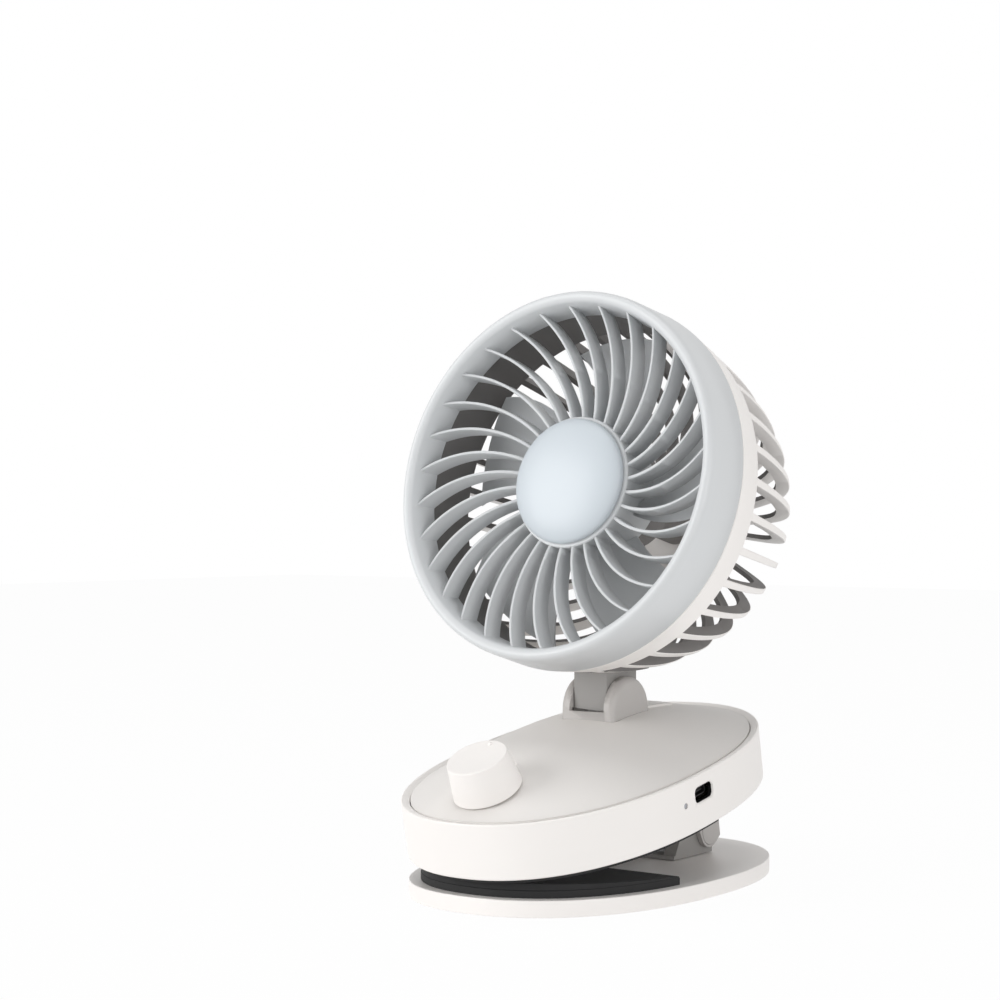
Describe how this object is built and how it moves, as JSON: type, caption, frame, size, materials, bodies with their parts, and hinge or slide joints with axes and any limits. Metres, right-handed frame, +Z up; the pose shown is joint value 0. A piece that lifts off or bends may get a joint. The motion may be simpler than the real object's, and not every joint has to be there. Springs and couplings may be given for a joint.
{
  "type": "clip fan",
  "caption": "Rechargeable clip-on desk fan: sprung clip base with a domed lid, a speed knob and a charging port, and a round tilting fan head with swept front vanes.",
  "frame": {"origin": "middle of the lower jaw's flat underside", "axes": "+Z up, the fan blows towards -Y, +X is the side with the charging port"},
  "size_m": [0.1442, 0.1719, 0.2269],
  "materials": {
    "white_plastic": "satin moulded white plastic",
    "lid_plastic": "fine matt moulded off-white plastic",
    "grille_plastic": "satin moulded pale grey-white plastic",
    "cap_plastic": "polished white plastic",
    "blade_plastic": "satin moulded plastic",
    "hinge_plastic": "satin moulded light grey plastic",
    "black_plastic": "matt black plastic",
    "lamp_plastic": "clear light pipe",
    "grip_rubber": "soft dark grey silicone rubber",
    "steel": "plain bright steel",
    "cell_wrap": "shrink-wrapped round cell, with the density of a cell",
    "board": "solder-masked circuit board"
  },
  "bodies": {
    "lower_jaw": {"lower_jaw_plate": "white_plastic", "lower_grip_pad": "grip_rubber", "hinge_bracket": "hinge_plastic", "bracket_screw_1": "steel", "bracket_screw_2": "steel", "bracket_screw_3": "steel", "bracket_screw_4": "steel", "hinge_pin": "steel", "spring_pin": "steel", "clip_spring": "steel"},
    "base": {"base_shell": "white_plastic", "base_floor": "hinge_plastic", "upper_grip_pad": "grip_rubber", "top_cover": "lid_plastic", "tilt_yoke": "hinge_plastic", "tilt_axle": "steel", "speed_switch": "black_plastic", "floor_screw_1": "steel", "floor_screw_2": "steel", "floor_screw_3": "steel", "floor_screw_4": "steel", "pin_cap_right": "hinge_plastic", "pin_cap_left": "hinge_plastic", "battery_cell_1": "cell_wrap", "battery_cell_2": "cell_wrap", "circuit_board": "board", "usb_socket": "black_plastic", "charge_lamp": "lamp_plastic"},
    "knob": {"speed_knob": "white_plastic", "knob_shaft": "steel"},
    "head": {"front_grille": "grille_plastic", "hub_cap": "cap_plastic", "rear_housing": "white_plastic", "motor_can": "steel", "tilt_neck": "hinge_plastic"},
    "rotor": {"impeller": "blade_plastic", "motor_shaft": "steel"}
  },
  "joints": [
    {"name": "clip_jaw", "type": "hinge", "parent": "lower_jaw", "child": "base", "pos_m": [0, 0.0453, 0.016], "axis": [-1, 0, 0], "range_deg": [0, 24], "stiffness_Nm_per_rad": 1.2, "springref_deg": -40.11, "deforming": ["clip_spring"]},
    {"name": "head_tilt", "type": "hinge", "parent": "base", "child": "head", "pos_m": [0, 0.00702, 0.06724], "axis": [-1, 0, 0], "range_deg": [-20, 25]},
    {"name": "knob_turn", "type": "hinge", "parent": "base", "child": "knob", "pos_m": [0, -0.06746, 0.04246], "axis": [0, -0.4651, 0.8852], "range_deg": [0, 280]},
    {"name": "blade_spin", "type": "hinge", "parent": "head", "child": "rotor", "pos_m": [0, -0.03044, 0.15799], "axis": [0, -0.9755, 0.2198], "continuous": true}
  ]
}
